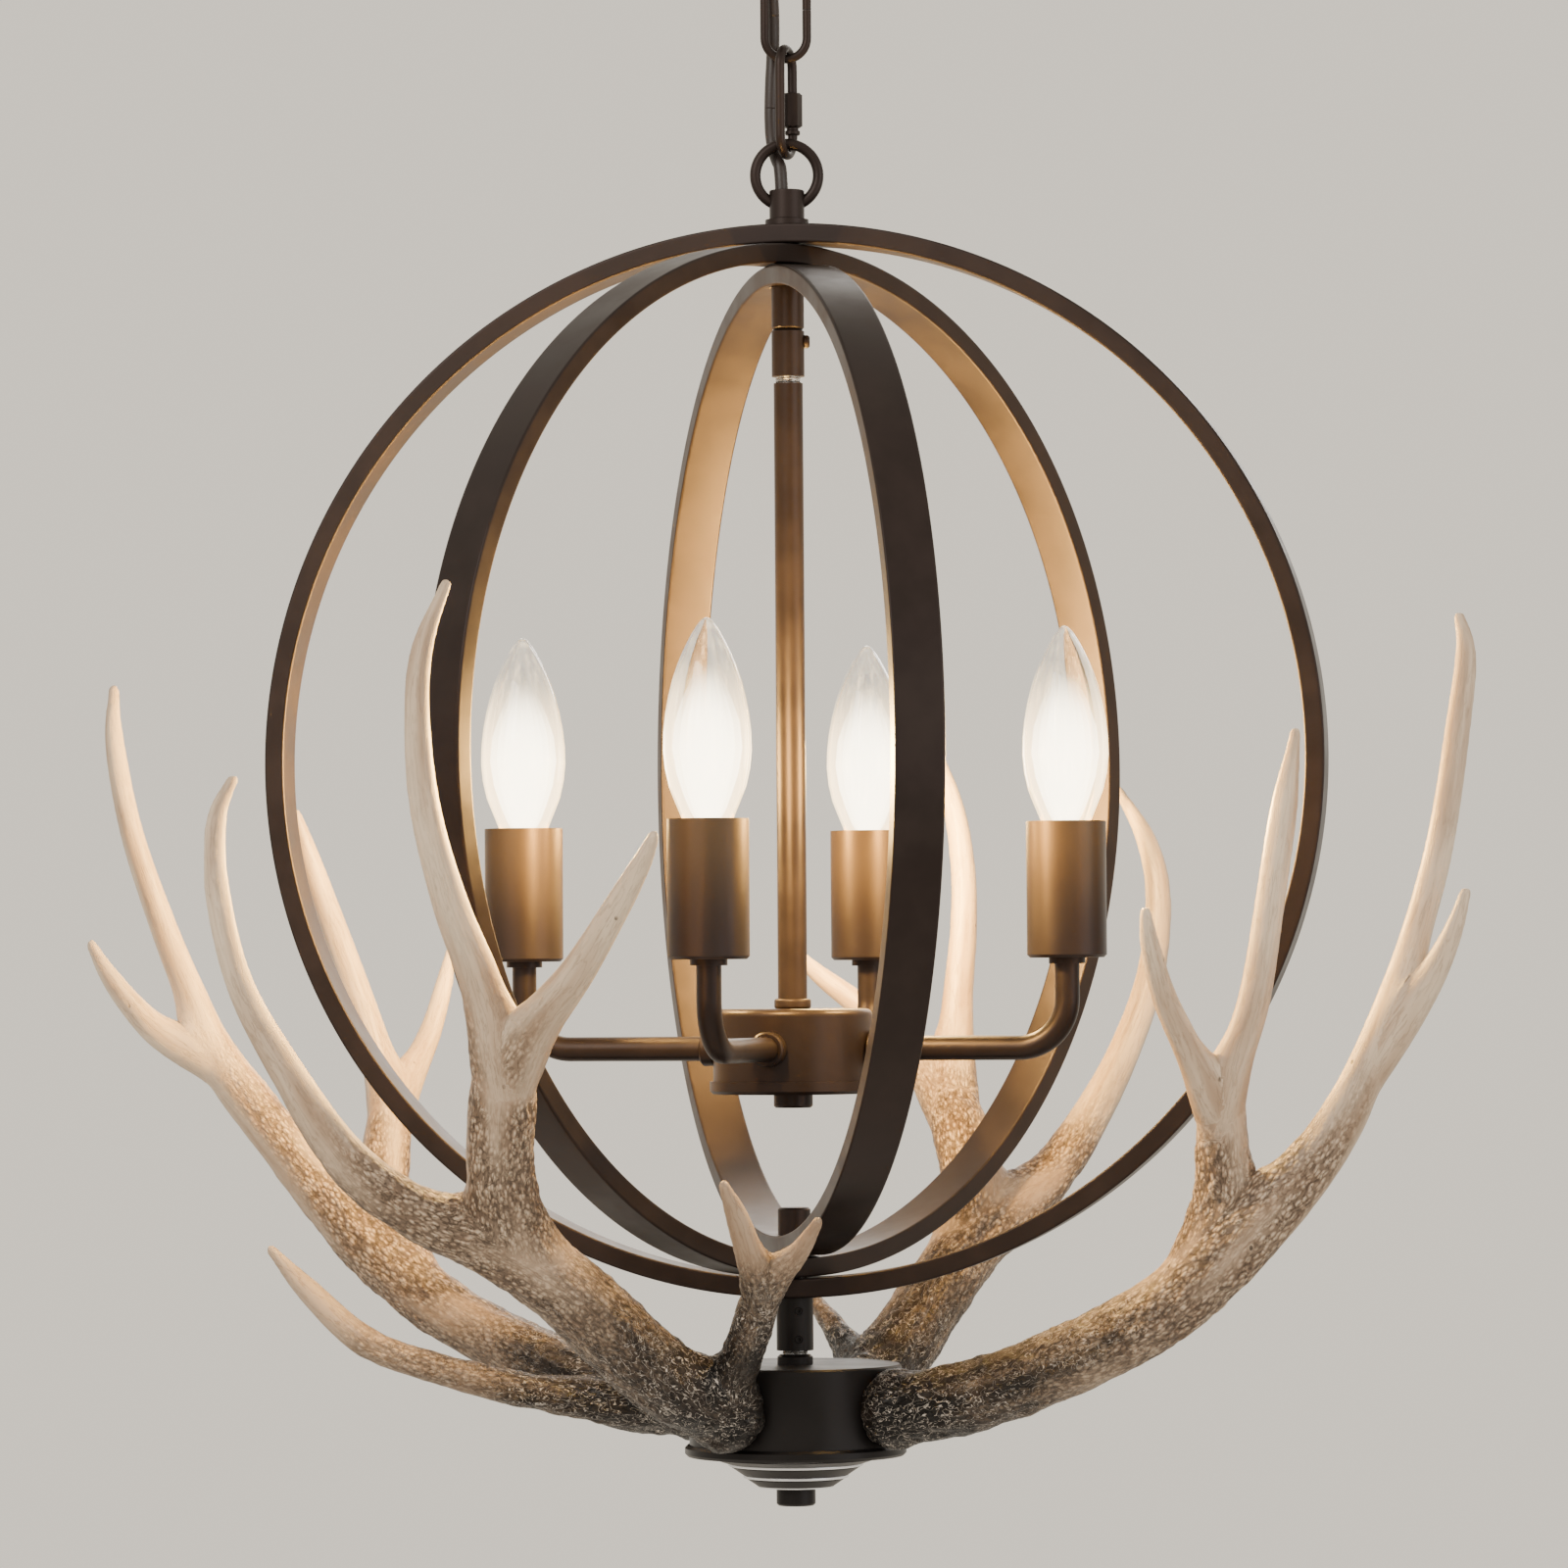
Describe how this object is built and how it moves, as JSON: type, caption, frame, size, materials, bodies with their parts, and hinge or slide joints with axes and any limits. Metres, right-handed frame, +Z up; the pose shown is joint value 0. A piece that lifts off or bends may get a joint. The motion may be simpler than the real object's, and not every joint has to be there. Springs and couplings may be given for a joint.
{
  "type": "antler chandelier",
  "caption": "Orb chandelier of nested flat metal rings round a stem with candle arms, with branching antlers rising from a canister below, hung on a short chain from a round ceiling cover.",
  "frame": {"origin": "middle of the ceiling face of the cover, where the bracket meets the ceiling", "axes": "+Z up into the ceiling, along the plumb line; -Y towards the viewer of the picture; +X to the viewer's right"},
  "size_m": [0.5712, 0.4486, 0.7632],
  "materials": {
    "bronze": "satin dark bronze",
    "black_bronze": "satin near-black bronze",
    "bright_thread": "bright zinc",
    "antler": "weathered cream and brown cast resin",
    "lamp_glass": "clear",
    "lamp_cap": "satin",
    "holder": "matte",
    "cord": "satin",
    "steel": "plain"
  },
  "bodies": {
    "ceiling_mount": {"canopy": "bronze", "crossbar": "steel", "canopy_nipple": "bright_thread", "crossbar_nut": "steel", "canopy_collar": "bronze", "canopy_loop": "bronze", "supply_cord": "cord"},
    "chain_link_top": {"chain_link_top": "bronze"},
    "chain_link_middle": {"chain_link_middle": "bronze"},
    "chain_link_bottom": {"chain_link_bottom": "bronze"},
    "quick_link": {"quick_link": "bronze"},
    "quick_link_nut": {"quick_link_nut": "bronze"},
    "fixture": {"top_loop": "bronze", "ring_outer": "bronze", "top_washer": "bronze", "top_nipple": "bright_thread", "top_coupler": "bronze", "lock_collar": "bronze", "lock_screw": "bronze", "stem_nipples": "bright_thread", "stem": "bronze", "stem_neck_ring": "bronze", "hub_body": "bronze", "hub_cover": "bronze", "hub_cap": "bronze", "arm_front_right": "bronze", "arm_back_right": "bronze", "arm_back_left": "bronze", "arm_front_left": "bronze", "arm_bosses": "bronze", "socket_washers": "bronze", "lampholders": "holder", "candle_sleeve_front_right": "bronze", "candle_sleeve_back_right": "bronze", "candle_sleeve_back_left": "bronze", "candle_sleeve_front_left": "bronze", "pole_cap_nut": "bronze", "lower_nipple": "bright_thread", "lower_coupler": "black_bronze", "grub_screws": "black_bronze", "base_lock_ring": "black_bronze", "base_canister": "black_bronze", "base_plate": "black_bronze", "finial_steps": "black_bronze", "finial_knob": "black_bronze", "antler_front_right": "antler", "antler_back_right": "antler", "antler_back_left": "antler", "antler_front_left": "antler", "antler_screws": "steel"},
    "ring_middle": {"ring_middle": "bronze"},
    "ring_inner": {"ring_inner": "bronze"},
    "bulb_front_right": {"bulb_front_right": "lamp_glass", "bulb_cap_front_right": "lamp_cap"},
    "bulb_back_right": {"bulb_back_right": "lamp_glass", "bulb_cap_back_right": "lamp_cap"},
    "bulb_back_left": {"bulb_back_left": "lamp_glass", "bulb_cap_back_left": "lamp_cap"},
    "bulb_front_left": {"bulb_front_left": "lamp_glass", "bulb_cap_front_left": "lamp_cap"}
  },
  "joints": [
    {"name": "chain_swing_top", "type": "hinge", "parent": "ceiling_mount", "child": "chain_link_top", "pos_m": [0, 0, -0.06045], "axis": [0, 1, 0], "range_deg": [-15, 15], "deforming": ["supply_cord"]},
    {"name": "chain_swing_middle", "type": "hinge", "parent": "chain_link_top", "child": "chain_link_middle", "pos_m": [0, 0, -0.0965], "axis": [1, 0, 0], "range_deg": [-15, 15], "deforming": ["supply_cord"]},
    {"name": "chain_swing_bottom", "type": "hinge", "parent": "chain_link_middle", "child": "chain_link_bottom", "pos_m": [0, 0, -0.133], "axis": [0, 1, 0], "range_deg": [-15, 15], "deforming": ["supply_cord"]},
    {"name": "quick_link_swing", "type": "hinge", "parent": "chain_link_bottom", "child": "quick_link", "pos_m": [0, 0, -0.1695], "axis": [1, 0, 0], "range_deg": [-15, 15], "deforming": ["supply_cord"]},
    {"name": "quick_link_nut_travel", "type": "slide", "parent": "quick_link", "child": "quick_link_nut", "axis": [0, 0, 1], "range_m": [0, 0.0095]},
    {"name": "fixture_swing", "type": "hinge", "parent": "quick_link", "child": "fixture", "pos_m": [0, 0, -0.2091], "axis": [0.342, 0.9397, 0], "range_deg": [-15, 15], "deforming": ["supply_cord"]},
    {"name": "ring_middle_turn", "type": "hinge", "parent": "fixture", "child": "ring_middle", "pos_m": [0, 0, -0.4583], "axis": [0, 0, 1], "continuous": true},
    {"name": "ring_inner_turn", "type": "hinge", "parent": "fixture", "child": "ring_inner", "pos_m": [0, 0, -0.4583], "axis": [0, 0, 1], "continuous": true},
    {"name": "bulb_front_right_removal", "type": "slide", "parent": "fixture", "child": "bulb_front_right", "axis": [0, 0, 1], "range_m": [0, 0.025]},
    {"name": "bulb_back_right_removal", "type": "slide", "parent": "fixture", "child": "bulb_back_right", "axis": [0, 0, 1], "range_m": [0, 0.025]},
    {"name": "bulb_back_left_removal", "type": "slide", "parent": "fixture", "child": "bulb_back_left", "axis": [0, 0, 1], "range_m": [0, 0.025]},
    {"name": "bulb_front_left_removal", "type": "slide", "parent": "fixture", "child": "bulb_front_left", "axis": [0, 0, 1], "range_m": [0, 0.025]}
  ]
}
